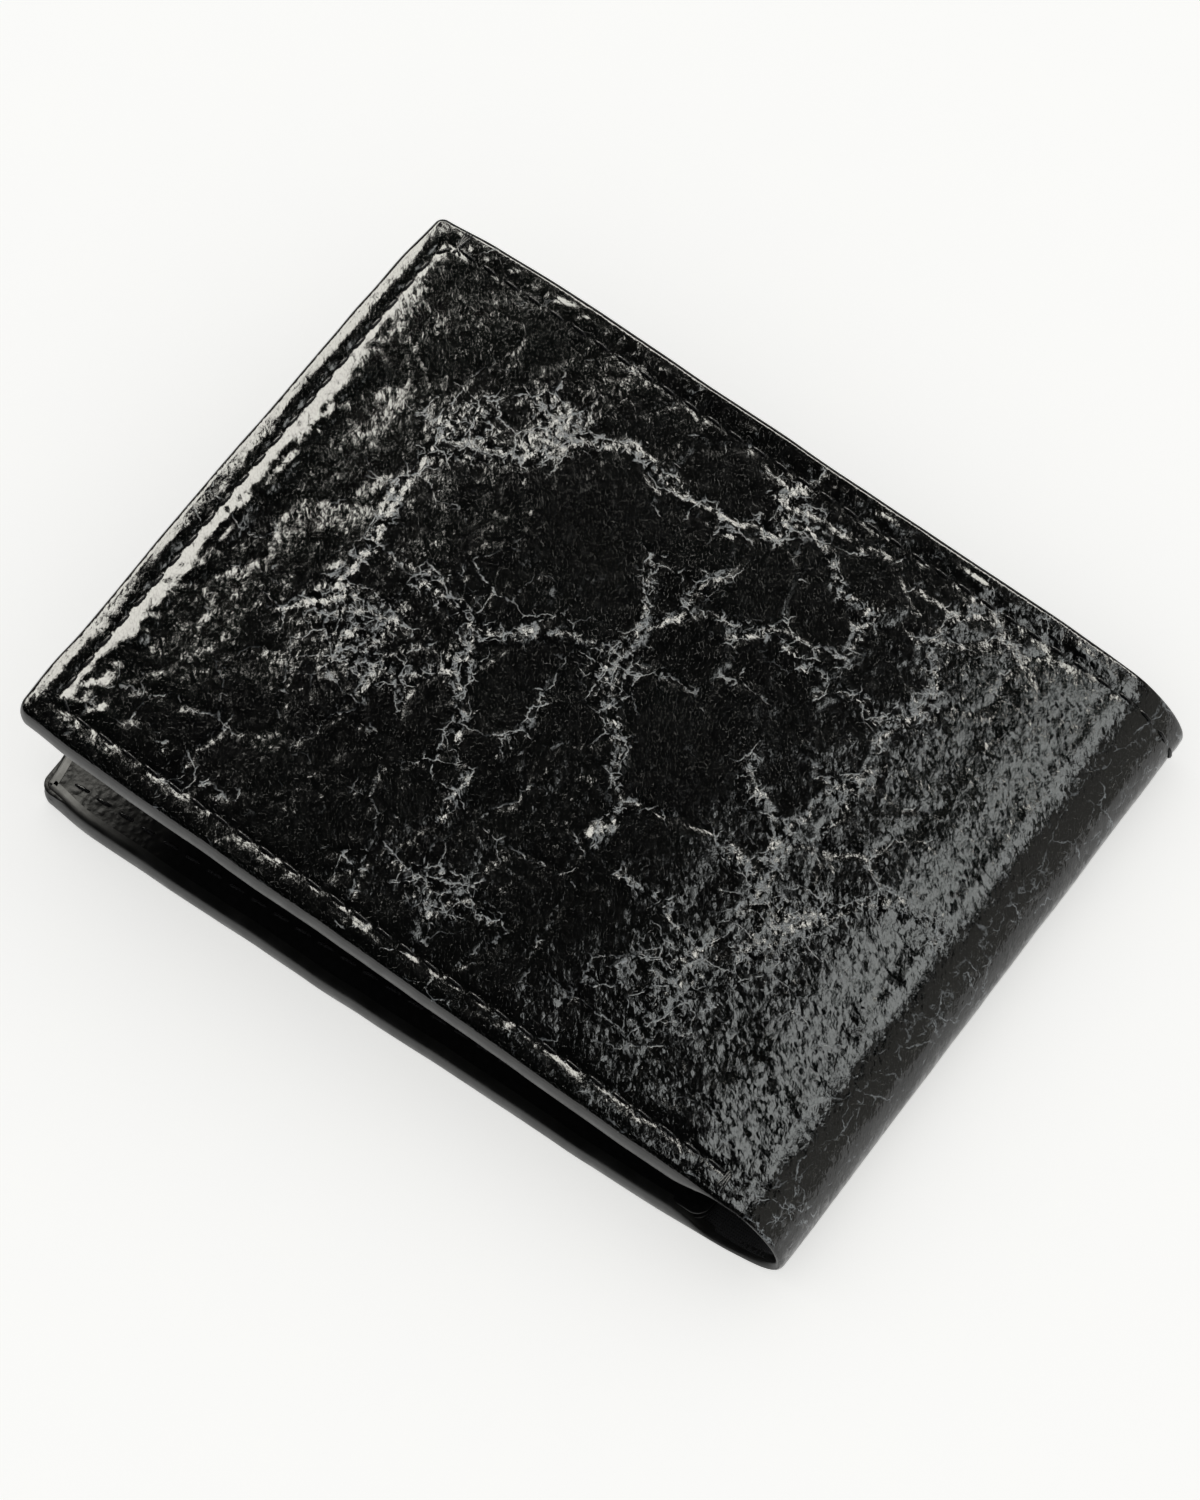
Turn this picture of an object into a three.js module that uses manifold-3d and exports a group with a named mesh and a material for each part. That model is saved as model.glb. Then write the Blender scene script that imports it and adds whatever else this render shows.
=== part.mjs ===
// Bifold wallet, lying closed on its back cover, millimetres, +Z up.
//
// +X points at the fold, -Y is the sewn bottom edge, +Y is the mouth of the note compartment.
// The back half lies on the table, the front half lies over it and springs open by a few degrees.
// Each half is a stack of plies: cover, lining, note compartment, divider, card base, three card slots.
// Every ply is modelled about the fold's own axis, as if the half lay flat at the fold radius below it.
// The front half is the same stack mirrored through that axis and turned by the resting opening.

import * as THREE from "three";
import { mergeVertices } from "three/addons/utils/BufferGeometryUtils.js";
import Module from "manifold-3d";

const wasm = await Module();
wasm.setup();

// ---- Overall sizes ---------------------------------------------------------------------------
const HEIGHT = 86; // along the fold, bottom edge to mouth
const BACK_REACH = 102; // free edge of the back cover to the start of the fold
const FRONT_REACH = 103.8; // the fold sits a little off centre, so the front cover reaches further
const FOLD_RADIUS = 6.75; // outside of the fold
const REST_OPENING = THREE.MathUtils.degToRad(5.8); // the empty wallet springs open by this much
const CORNER_RADIUS = 2.5; // cover corners at the free edge

// ---- Plies, from the outside in ---------------------------------------------------------------
const COVER_PLY = 1.0;
const LINING_PLY = 0.2;
const DIVIDER_PLY = 0.3;
const CARD_BASE_PLY = 0.4;
const CARD_SLOT_PLY = 0.3;
const NOTE_SPACE = 0.3; // free depth of the empty note compartment
const CARD_SPACE = 0.1; // free depth of an empty card slot
const PLY_GAP = 0.05; // between two plies that touch

// ---- Outlines of the inner plies ---------------------------------------------------------------
const LINING_INSET = 0.8; // inside the cover's edge
const DIVIDER_INSET = 0.4;
const MOUTH_DROP = 4; // the divider stops this far below the cover's mouth edge
const GUTTER = 3.2; // card stack's edge to the start of the fold
const GUTTER_NOTCH = 8; // the divider is cut back this far at the bottom of the fold
const SEAM_ALLOWANCE = 4; // width of the pressed and sewn rim of a pocket
const CARD_BASE_DROP = 7; // card base top edge below the mouth edge
const SLOT_COUNT = 3;
const FRONT_SLOT_TOP = 44; // top edge of the frontmost slot above the bottom edge
const SLOT_STEP = 11; // each slot behind it shows this much more leather
const SLOT_RISE = 9; // and its own bottom seam sits this much higher

// ---- Seams ---------------------------------------------------------------------------------------
const SEAM_OFFSET = 3.4; // stitch line inside the cover's edge
const THREAD_WIDTH = 0.55;
const THREAD_DEPTH = 0.3;
const THREAD_SUNK = 0.05; // top of the thread below the leather
const THREAD_CLEARANCE = 0.12; // groove wall to thread, each side
const SEAM_END = 2.2; // the bottom seam stops this far before the fold
const TACK_WIDTH = 0.9;
const TACK_MARGIN = 0.6; // tack end to the cover's edge
const TACK_GAP = 0.4; // tack to the thread beside it

// ---- Fold ------------------------------------------------------------------------------------------
const HINGE_GAP = 0.3; // between two stretches of one ply where the fold turns
const ARC_SEGMENTS = 5; // EllipseCurve doubles this

const HALF = HEIGHT / 2;
const FOLD_TURN = (Math.PI - REST_OPENING) / 2; // turned at each of the two hinge lines
const CURL = FOLD_TURN / 2; // each half keeps this much of the fold's arc
const REACH_MARGIN = 2 * FOLD_RADIUS; // how far a cutting outline runs past what it cuts

// Distances from the outside of the half to each face of each ply.
const lining = { outer: COVER_PLY + PLY_GAP };
lining.inner = lining.outer + LINING_PLY;
const divider = { outer: lining.inner + NOTE_SPACE };
divider.inner = divider.outer + DIVIDER_PLY;
const cardBase = { outer: divider.inner + PLY_GAP };
cardBase.inner = cardBase.outer + CARD_BASE_PLY;

// ---- Solids -----------------------------------------------------------------------------------------
function solidOf(geometry) {
  const bare = geometry.clone();
  bare.deleteAttribute("normal");
  bare.deleteAttribute("uv");
  const merged = mergeVertices(bare, 1e-4);
  const mesh = new wasm.Mesh({
    numProp: 3,
    vertProperties: Float32Array.from(merged.attributes.position.array),
    triVerts: Uint32Array.from(merged.index.array),
  });
  return new wasm.Manifold(mesh);
}

function geometryOf(solid) {
  const { vertProperties, triVerts } = solid.getMesh();
  const geometry = new THREE.BufferGeometry();
  geometry.setAttribute("position", new THREE.BufferAttribute(Float32Array.from(vertProperties), 3));
  geometry.setIndex(new THREE.BufferAttribute(Uint32Array.from(triVerts), 1));
  geometry.computeVertexNormals();
  return geometry;
}

// A section in X and Z, drawn out along the whole height.
function drawnAlongHeight(section) {
  const geometry = new THREE.ExtrudeGeometry(section, {
    depth: HEIGHT + 2 * REACH_MARGIN,
    bevelEnabled: false,
    curveSegments: ARC_SEGMENTS,
  });
  geometry.rotateX(Math.PI / 2);
  geometry.translate(0, HALF + REACH_MARGIN, 0);
  return solidOf(geometry);
}

// A plan outline in X and Y, tall enough to cut any ply.
function tallPrism(outline) {
  const geometry = new THREE.ExtrudeGeometry(outline, {
    depth: 2 * REACH_MARGIN,
    bevelEnabled: false,
    curveSegments: ARC_SEGMENTS,
  });
  geometry.translate(0, 0, -REACH_MARGIN);
  return solidOf(geometry);
}

// Section of a ply of one half: flat from beyond the free edge, then curling up into the fold.
function halfSection(outer, inner, curl) {
  const start = -Math.PI / 2;
  const far = -2 * FRONT_REACH;
  const section = new THREE.Shape();
  section.moveTo(far, outer - FOLD_RADIUS);
  section.lineTo(0, outer - FOLD_RADIUS);
  section.absarc(0, 0, FOLD_RADIUS - outer, start, start + curl, false);
  section.absarc(0, 0, FOLD_RADIUS - inner, start + curl, start, true);
  section.lineTo(far, inner - FOLD_RADIUS);
  section.closePath();
  return section;
}

// Section of a ply of the spine: the arc between the two hinge lines.
function spineSection(outer, inner, margin) {
  const from = -Math.PI / 2 + CURL + margin;
  const to = from + FOLD_TURN - 2 * margin;
  const section = new THREE.Shape();
  section.absarc(0, 0, FOLD_RADIUS - outer, from, to, false);
  section.absarc(0, 0, FOLD_RADIUS - inner, to, from, true);
  section.closePath();
  return section;
}

// A rectangle in plan whose corners at the free edge are rounded.
function coverPlan(x0, x1, y0, y1, radius) {
  const plan = new THREE.Shape();
  plan.moveTo(x1, y0);
  plan.lineTo(x1, y1);
  plan.lineTo(x0 + radius, y1);
  plan.absarc(x0 + radius, y1 - radius, radius, Math.PI / 2, Math.PI, false);
  plan.lineTo(x0, y0 + radius);
  plan.absarc(x0 + radius, y0 + radius, radius, Math.PI, 1.5 * Math.PI, false);
  plan.closePath();
  return plan;
}

// A rectangle in plan; only the corner at the free edge and the bottom is rounded.
function panelPlan(x0, x1, y0, y1, radius) {
  const plan = new THREE.Shape();
  plan.moveTo(x1, y0);
  plan.lineTo(x1, y1);
  plan.lineTo(x0, y1);
  plan.lineTo(x0, y0 + radius);
  if (radius > 0) plan.absarc(x0 + radius, y0 + radius, radius, Math.PI, 1.5 * Math.PI, false);
  plan.closePath();
  return plan;
}

function rectangle(x0, x1, y0, y1) {
  return panelPlan(x0, x1, y0, y1, 0);
}

const hingeMargin = HINGE_GAP / 2 / FOLD_RADIUS;

// A ply of one half, cut to a plan outline. Flat plies that stop before the fold have no curl.
function halfPly(outer, inner, plan) {
  const section = halfSection(outer, inner, CURL - hingeMargin);
  return drawnAlongHeight(section).intersect(tallPrism(plan));
}

function spinePly(outer, inner, y0, y1, margin = hingeMargin) {
  const section = spineSection(outer, inner, margin);
  const plan = rectangle(-REACH_MARGIN, REACH_MARGIN, y0, y1);
  return drawnAlongHeight(section).intersect(tallPrism(plan));
}

// ---- Seams, as plan strips ----------------------------------------------------------------------------
// The stitched line runs along the bottom, up the free edge and back along the mouth.
function seamStrip(reach, width) {
  const side = width / 2;
  const corner = CORNER_RADIUS + side;
  const strip = (inset) => {
    const x = -reach + inset;
    const y = HALF - inset;
    return { x, y, radius: Math.max(corner - (inset - SEAM_OFFSET + side), side) };
  };
  const outside = strip(SEAM_OFFSET - side);
  const inside = strip(SEAM_OFFSET + side);
  const bottomEnd = -SEAM_END - TACK_WIDTH / 2 - TACK_GAP + (width - THREAD_WIDTH) / 2;
  const mouthEnd = FOLD_RADIUS;
  const plan = new THREE.Shape();
  plan.moveTo(mouthEnd, outside.y);
  plan.lineTo(outside.x + outside.radius, outside.y);
  plan.absarc(outside.x + outside.radius, outside.y - outside.radius, outside.radius, Math.PI / 2, Math.PI, false);
  plan.lineTo(outside.x, -outside.y + outside.radius);
  plan.absarc(outside.x + outside.radius, -outside.y + outside.radius, outside.radius, Math.PI, 1.5 * Math.PI, false);
  plan.lineTo(bottomEnd, -outside.y);
  plan.lineTo(bottomEnd, -inside.y);
  plan.lineTo(inside.x + inside.radius, -inside.y);
  plan.absarc(inside.x + inside.radius, -inside.y + inside.radius, inside.radius, 1.5 * Math.PI, Math.PI, true);
  plan.lineTo(inside.x, inside.y - inside.radius);
  plan.absarc(inside.x + inside.radius, inside.y - inside.radius, inside.radius, Math.PI, Math.PI / 2, true);
  plan.lineTo(mouthEnd, inside.y);
  plan.closePath();
  return plan;
}

// The bar tack that ends the bottom seam, and the one that closes the mouth's outer corner.
function seamEndPlan(widen) {
  const y0 = -HALF + TACK_MARGIN - widen;
  const y1 = -HALF + SEAM_OFFSET + SEAM_OFFSET / 2 + widen;
  return rectangle(-SEAM_END - TACK_WIDTH / 2 - widen, -SEAM_END + TACK_WIDTH / 2 + widen, y0, y1);
}

function mouthTackPlan(reach, widen) {
  const x = -reach + CORNER_RADIUS + SEAM_OFFSET;
  const y0 = HALF - SEAM_OFFSET + THREAD_WIDTH / 2 + TACK_GAP - widen;
  const y1 = HALF - TACK_MARGIN + widen;
  return rectangle(x - TACK_WIDTH / 2 - widen, x + TACK_WIDTH / 2 + widen, y0, y1);
}

const threadFaces = [THREAD_SUNK, THREAD_SUNK + THREAD_DEPTH];
const grooveFaces = [-FOLD_RADIUS / 2, THREAD_SUNK + THREAD_DEPTH + PLY_GAP];

// ---- The plies of one half ---------------------------------------------------------------------------
function coverOf(reach) {
  const plan = coverPlan(-reach, REACH_MARGIN, -HALF, HALF, CORNER_RADIUS);
  const grooves = [
    seamStrip(reach, THREAD_WIDTH + 2 * THREAD_CLEARANCE),
    seamEndPlan(THREAD_CLEARANCE),
    mouthTackPlan(reach, THREAD_CLEARANCE),
  ];
  return grooves.reduce(
    (cover, groove) => cover.subtract(halfPly(...grooveFaces, groove)),
    halfPly(0, COVER_PLY, plan),
  );
}

function liningOf(reach) {
  const edge = HALF - LINING_INSET;
  const radius = CORNER_RADIUS - LINING_INSET;
  return halfPly(lining.outer, lining.inner, coverPlan(-reach + LINING_INSET, REACH_MARGIN, -edge, edge, radius));
}

// The wall between the notes and the cards. Its bottom and free edges are pressed onto the lining.
function dividerOf(reach) {
  const x0 = -reach + DIVIDER_INSET;
  const y0 = -HALF + DIVIDER_INSET;
  const y1 = HALF - MOUTH_DROP;
  const radius = CORNER_RADIUS - DIVIDER_INSET;
  const wall = panelPlan(x0, -GUTTER, y0, y1, radius);
  const overFold = rectangle(-GUTTER - SEAM_ALLOWANCE, REACH_MARGIN, -HALF + GUTTER_NOTCH, y1);
  const bottomRim = panelPlan(x0, -GUTTER, y0, y0 + SEAM_ALLOWANCE, radius);
  const edgeRim = panelPlan(x0, x0 + SEAM_ALLOWANCE, y0, y1, radius);
  const rimOuter = lining.inner + PLY_GAP;
  return halfPly(divider.outer, divider.inner, wall)
    .add(halfPly(divider.outer, divider.inner, overFold))
    .add(halfPly(rimOuter, divider.inner, bottomRim))
    .add(halfPly(rimOuter, divider.inner, edgeRim));
}

function cardBaseOf(reach) {
  const plan = panelPlan(-reach, -GUTTER, -HALF, HALF - CARD_BASE_DROP, CORNER_RADIUS);
  return halfPly(cardBase.outer, cardBase.inner, plan);
}

// Slot 0 is the rearmost and highest. Each one's sewn rim reaches down to what lies beneath it.
function cardSlotOf(reach, index) {
  const above = SLOT_COUNT - 1 - index;
  const pitch = PLY_GAP + CARD_SPACE + CARD_SLOT_PLY;
  const inner = cardBase.inner + (index + 1) * pitch;
  const outer = inner - CARD_SLOT_PLY;
  const y0 = -HALF + above * SLOT_RISE;
  const y1 = -HALF + FRONT_SLOT_TOP + above * SLOT_STEP;
  const radius = above === 0 ? CORNER_RADIUS : 0;
  const rimOuter = outer - CARD_SPACE;
  const freeRim = panelPlan(-reach, -reach + SEAM_ALLOWANCE, y0, y1, radius);
  const gutterRim = rectangle(-GUTTER - SEAM_ALLOWANCE, -GUTTER, y0, y1);
  const bottomRim = panelPlan(-reach, -GUTTER, y0, y0 + SEAM_ALLOWANCE, radius);
  return halfPly(outer, inner, panelPlan(-reach, -GUTTER, y0, y1, radius))
    .add(halfPly(rimOuter, inner, freeRim))
    .add(halfPly(rimOuter, inner, gutterRim))
    .add(halfPly(rimOuter, inner, bottomRim));
}

// ---- Materials ------------------------------------------------------------------------------------------
const coverLeather = new THREE.MeshStandardMaterial({ color: 0x141516, roughness: 0.3, metalness: 0 });
const pocketLeather = new THREE.MeshStandardMaterial({ color: 0x191a1b, roughness: 0.5, metalness: 0 });
const liningFabric = new THREE.MeshStandardMaterial({ color: 0x1d1e20, roughness: 0.85, metalness: 0 });
const sewingThread = new THREE.MeshStandardMaterial({ color: 0x0c0c0d, roughness: 0.6, metalness: 0 });

function place(parent, name, solid, material) {
  const mesh = new THREE.Mesh(geometryOf(solid), material);
  mesh.name = name;
  parent.add(mesh);
}

// ---- Assembly ---------------------------------------------------------------------------------------------
const SLOT_NAMES = ["rear", "middle", "front"];

function addHalf(parent, side, reach) {
  const half = new THREE.Group();
  place(half, `${side}_cover`, coverOf(reach), coverLeather);
  place(half, `${side}_cover_lining`, liningOf(reach), liningFabric);
  place(half, `${side}_note_divider`, dividerOf(reach), liningFabric);
  place(half, `${side}_card_base`, cardBaseOf(reach), pocketLeather);
  SLOT_NAMES.forEach((name, index) => {
    place(half, `${side}_card_slot_${name}`, cardSlotOf(reach, index), pocketLeather);
  });
  const seam = halfPly(...threadFaces, seamStrip(reach, THREAD_WIDTH));
  place(half, `${side}_seam_thread`, seam, sewingThread);
  place(half, `${side}_seam_end_tack`, halfPly(...threadFaces, seamEndPlan(0)), sewingThread);
  place(half, `${side}_mouth_tack`, halfPly(...threadFaces, mouthTackPlan(reach, 0)), sewingThread);
  parent.add(half);
  return half;
}

// The stretch of each folding ply between the two hinge lines.
function addSpine(parent) {
  const spine = new THREE.Group();
  const groove = THREAD_WIDTH / 2 + THREAD_CLEARANCE;
  const seam = HALF - SEAM_OFFSET;
  const liningEdge = HALF - LINING_INSET;
  const cover = spinePly(0, COVER_PLY, -HALF, HALF).subtract(
    spinePly(...grooveFaces, seam - groove, seam + groove, -hingeMargin),
  );
  place(spine, "spine_cover", cover, coverLeather);
  place(spine, "spine_lining", spinePly(lining.outer, lining.inner, -liningEdge, liningEdge), liningFabric);
  place(
    spine,
    "spine_divider",
    spinePly(divider.outer, divider.inner, -HALF + GUTTER_NOTCH, HALF - MOUTH_DROP),
    liningFabric,
  );
  place(
    spine,
    "spine_hem_thread",
    spinePly(...threadFaces, seam - THREAD_WIDTH / 2, seam + THREAD_WIDTH / 2),
    sewingThread,
  );
  parent.add(spine);
}

const folded = new THREE.Group();
addHalf(folded, "back", BACK_REACH);
addSpine(folded);
const frontHalf = addHalf(folded, "front", FRONT_REACH);
frontHalf.scale.z = -1;
frontHalf.rotation.y = REST_OPENING;

// The origin is the middle of the footprint, on the table.
const extent = new THREE.Box3().setFromObject(folded);
const middle = extent.getCenter(new THREE.Vector3());
folded.position.set(-middle.x, -middle.y, FOLD_RADIUS);

const wallet = new THREE.Group();
wallet.add(folded);

export default wallet;
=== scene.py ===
"""Bifold wallet in crinkled glazed leather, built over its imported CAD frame.

Everything is modelled on the unrolled hide: s runs across the wallet in millimetres, from the back
cover's free edge over the fold to the front cover's free edge, and is 0 where the fold begins.
y runs along the fold, from the sewn bottom edge to the mouth. Depth goes inwards from the outside.
"""

import math

import bpy
import numpy as np
from mathutils import Matrix, Vector


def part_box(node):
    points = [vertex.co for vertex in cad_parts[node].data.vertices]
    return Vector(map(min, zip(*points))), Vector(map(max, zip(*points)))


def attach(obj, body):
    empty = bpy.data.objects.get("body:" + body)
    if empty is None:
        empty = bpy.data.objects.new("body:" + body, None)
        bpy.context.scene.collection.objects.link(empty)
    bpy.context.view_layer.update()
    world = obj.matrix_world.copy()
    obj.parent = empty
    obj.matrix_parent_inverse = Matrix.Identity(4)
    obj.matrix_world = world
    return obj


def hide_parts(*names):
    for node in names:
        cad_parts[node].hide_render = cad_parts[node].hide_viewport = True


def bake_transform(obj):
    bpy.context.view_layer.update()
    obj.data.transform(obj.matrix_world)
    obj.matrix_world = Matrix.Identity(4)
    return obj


bl_info = {
    "name": "Bifold Wallet",
    "version": (1, 0, 0),
    "blender": (4, 5, 0),
    "location": "3D View > Sidebar > Wallet",
    "description": "Builds a crinkled leather bifold wallet on its CAD frame",
    "category": "Object",
}

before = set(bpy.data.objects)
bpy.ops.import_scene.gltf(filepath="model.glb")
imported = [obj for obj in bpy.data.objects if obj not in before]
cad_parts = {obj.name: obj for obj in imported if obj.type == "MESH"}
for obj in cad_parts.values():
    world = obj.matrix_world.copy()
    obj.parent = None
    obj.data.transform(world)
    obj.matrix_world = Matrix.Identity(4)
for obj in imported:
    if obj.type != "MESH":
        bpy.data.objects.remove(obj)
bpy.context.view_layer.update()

MM = 0.001
BACK, SPINE, FRONT = "back_half", "spine", "front_half"

# Sizes that the frame already fixes, in millimetres.
FOLD_RADIUS = 6.75  # outside of the fold
REST_OPENING = math.radians(5.8)
HEIGHT = (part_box("back_cover")[1].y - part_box("back_cover")[0].y) / MM
FOLD_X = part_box("spine_cover")[1].x / MM - FOLD_RADIUS
BACK_REACH = FOLD_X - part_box("back_cover")[0].x / MM
FRONT_REACH = 103.8
HALF = HEIGHT / 2

# Depth of each ply's innermost face below the cover's outer face, and the edges of the inner plies.
COVER_DEPTH = 1.25
DIVIDER_FACE = 1.85
BASE_FACE = 2.3
SLOT_FACES = {"rear": 2.75, "middle": 3.2, "front": 3.65}
SLOT_SPANS = {"rear": (-25.0, 23.0), "middle": (-34.0, 12.0), "front": (-HALF, 1.0)}
STACK_DEPTH = 3.75
BASE_TOP = HALF - 7
DIVIDER_TOP = HALF - 4
LINING_INSET = 0.85
DIVIDER_INSET = 0.6
CARD_INSET = 0.45
GUTTER = 3.2  # from the fold to the card stack
GUTTER_NOTCH = 8.0  # the note wall is cut back this far at the bottom of the fold
SEAM_END = 2.2  # the bottom seam stops this far before the fold

FOLD_FLARE = 0.4  # the fold bulges this much further at the mouth than at mid-height, less at the bottom
SPLIT_ANGLE = math.radians(-20)  # where the two covers meet, seen from the fold's centre
BACK_LEATHER_STEP = 0.7
UV_PER_MM = 0.01  # the hide's map, which the materials turn back to millimetres
MIDDLE = (0.5, 0.5, 0.5)  # of a random colour, so that what is left points any way


# ---- Sizes and colours a user may change -----------------------------------
def length_property(name, description, value, low, high):
    """A length, written in millimetres here and kept in metres."""
    return bpy.props.FloatProperty(
        name=name,
        description=description,
        default=value * MM,
        min=low * MM,
        max=high * MM,
        precision=5,
        unit="LENGTH",
    )


class WalletSizes(bpy.types.PropertyGroup):
    fold_bulge: length_property("Fold Bulge", "How far the fold's lower half sags outwards", 2.3, 0.0, 4.0)
    corner_radius: length_property("Corner Radius", "Rounding of the covers' corners", 1.8, 1.0, 8.0)
    leather_step: length_property("Leather Step", "Mesh spacing of the front cover", 0.36, 0.2, 2.0)
    stitch_pitch: length_property("Stitch Pitch", "Length of one stitch", 3.4, 1.5, 6.0)
    seam_offset: length_property("Seam Offset", "Stitch line inside the cover's edge", 3.4, 1.5, 8.0)
    thread_width: length_property("Thread Width", "Thickness of the sewing thread", 0.42, 0.2, 1.2)


def hex_property(name, description, value):
    return bpy.props.StringProperty(name=name, description=description, default=value)


class WalletColours(bpy.types.PropertyGroup):
    leather: hex_property("Leather", "Glazed face of the cover, as an sRGB hex value", "#050505")
    # Pale colour of the cracked glaze, also used as painted highlight on crease ridges and as painted sheen
    # in rubbed patches.
    crack_and_highlight: hex_property("Cracks", "Glaze broken along the creases", "#a2a8ab")
    edge: hex_property("Edge Paint", "Painted and burnished cut edges", "#131312")
    pocket: hex_property("Pockets", "Matt leather inside", "#101011")
    fabric: hex_property("Lining", "Woven lining", "#1d1e20")
    thread: hex_property("Thread", "Bonded sewing thread", "#0b0b0c")
    floor: hex_property("Floor", "Studio sweep", "#f4f4f2")


def mm(name):
    """One of the wallet's sizes in millimetres."""
    return getattr(bpy.context.scene.wallet_sizes, name) / MM


def linear(text):
    """An sRGB hex value as linear RGBA."""
    srgb = [int(text.lstrip("#")[i : i + 2], 16) / 255 for i in (0, 2, 4)]
    return (*[c / 12.92 if c <= 0.04045 else ((c + 0.055) / 1.055) ** 2.4 for c in srgb], 1.0)


def colour(name):
    return linear(getattr(bpy.context.scene.wallet_colours, name))


# ---- Fields on the hide ----------------------------------------------------
TABLE = 128  # random values along each side, before a pattern repeats
FAR = 1e3


def smooth(t):
    """Eases from 0 to 1 as t goes from 0 to 1."""
    t = np.clip(t, 0.0, 1.0)
    return t * t * (3 - 2 * t)


def hump(distance, width):
    """1 at no distance, fading within about the width."""
    return np.exp(-((distance / width) ** 2))


def waves(x, y, size, seed):
    """Smooth seeded noise from -1 to 1, with features about as wide as size."""
    table = np.random.default_rng(seed).random((TABLE, TABLE))
    x, y = np.asarray(x) / size + 37.3, np.asarray(y) / size + 51.7
    i, j = np.floor(x).astype(int), np.floor(y).astype(int)
    fx, fy = smooth(x - i), smooth(y - j)
    corner = [[table[(i + a) % TABLE, (j + b) % TABLE] for b in (0, 1)] for a in (0, 1)]
    low = corner[0][0] * (1 - fy) + corner[0][1] * fy
    high = corner[1][0] * (1 - fy) + corner[1][1] * fy
    return 2 * (low * (1 - fx) + high * fx) - 1


def rough_waves(x, y, size, seed, octaves=4, gain=0.55):
    """Waves with ever finer waves on them."""
    total, weight = 0.0, 1.0
    for octave in range(octaves):
        total = total + weight * waves(x, y, size / 2**octave, seed + octave)
        weight *= gain
    return total


def cell_walls(x, y, size, seed):
    """Distance in millimetres to the nearest wall between scattered cells."""
    jitter = np.random.default_rng(seed).random((TABLE, TABLE, 2))
    x, y = np.asarray(x) / size + 40, np.asarray(y) / size + 40
    i, j = np.floor(x).astype(int), np.floor(y).astype(int)
    first, second = np.full(x.shape, FAR), np.full(x.shape, FAR)
    for a in (-1, 0, 1):
        for b in (-1, 0, 1):
            point = jitter[(i + a) % TABLE, (j + b) % TABLE]
            d = np.hypot(i + a + point[..., 0] - x, j + b + point[..., 1] - y)
            second = np.minimum(second, np.maximum(first, d))
            first = np.minimum(first, d)
    return (second - first) / 2 * size


def distance_to_line(x, y, line):
    best = np.full(np.shape(x), FAR)
    for (x0, y0), (x1, y1) in zip(line, line[1:]):
        dx, dy = x1 - x0, y1 - y0
        t = np.clip(((x - x0) * dx + (y - y0) * dy) / (dx * dx + dy * dy), 0, 1)
        best = np.minimum(best, np.hypot(x - x0 - t * dx, y - y0 - t * dy))
    return best


# Main creases of the front cover, in millimetres from the fold and from the middle of the height.
CREASES = (
    ((20, 39), (20, 31), (18, 24), (20, 17), (19, 10), (21, 3), (20, -5), (21, -20)),
    ((77, 31), (73, 26), (76, 21), (81, 20), (85, 18)),
    ((73, 26), (65, 31), (57, 30), (50, 30), (45, 31), (48, 36), (45, 40)),
    ((50, 28), (47, 23), (48, 15), (51, 9)),
    ((54, 19), (52, 14), (50, 12)),
    ((51, 9), (50, 5), (48, 0), (44, -4), (40, -9), (38, -14)),
    ((51, 8), (56, 5), (62, 1), (67, 0), (74, 0)),
    ((85, 19), (84, 13), (83, 6), (82, -1), (83, -9), (88, -14)),
    ((83, -9), (75, -7), (69, -7), (62, -11), (57, -17), (55, -23)),
    ((42, 34), (36, 33), (30, 29), (29, 23), (29, 17)),
    ((42, 17), (38, 19), (29, 19), (20, 18)),
    ((30, 6), (24, 2), (21, -4)),
    ((40, -9), (34, -7), (28, -6), (21, -7)),
    ((34, -16), (28, -17), (21, -18), (21, -21)),
    ((67, 0), (66, -7), (62, -11)),
    ((55, -2), (55, -13)),
    ((11, -5), (4, 0), (-2, -1)),
    ((11, -5), (14, -11), (17, -15)),
)
# Rubbed, fleecy patches, which the crackle paints paler as worn glaze and as painted sheen of crowded
# glints: centre from the fold and from the middle, then radius.
FLECKS = (
    (48, -31, 8),
    (22, -24, 10),
    (83, 20, 7),
    (78, -10, 9),
    (50, 3, 6),
    (46, 33, 5),
    (14, -10, 9),
    (74, 27, 6),
)


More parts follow.
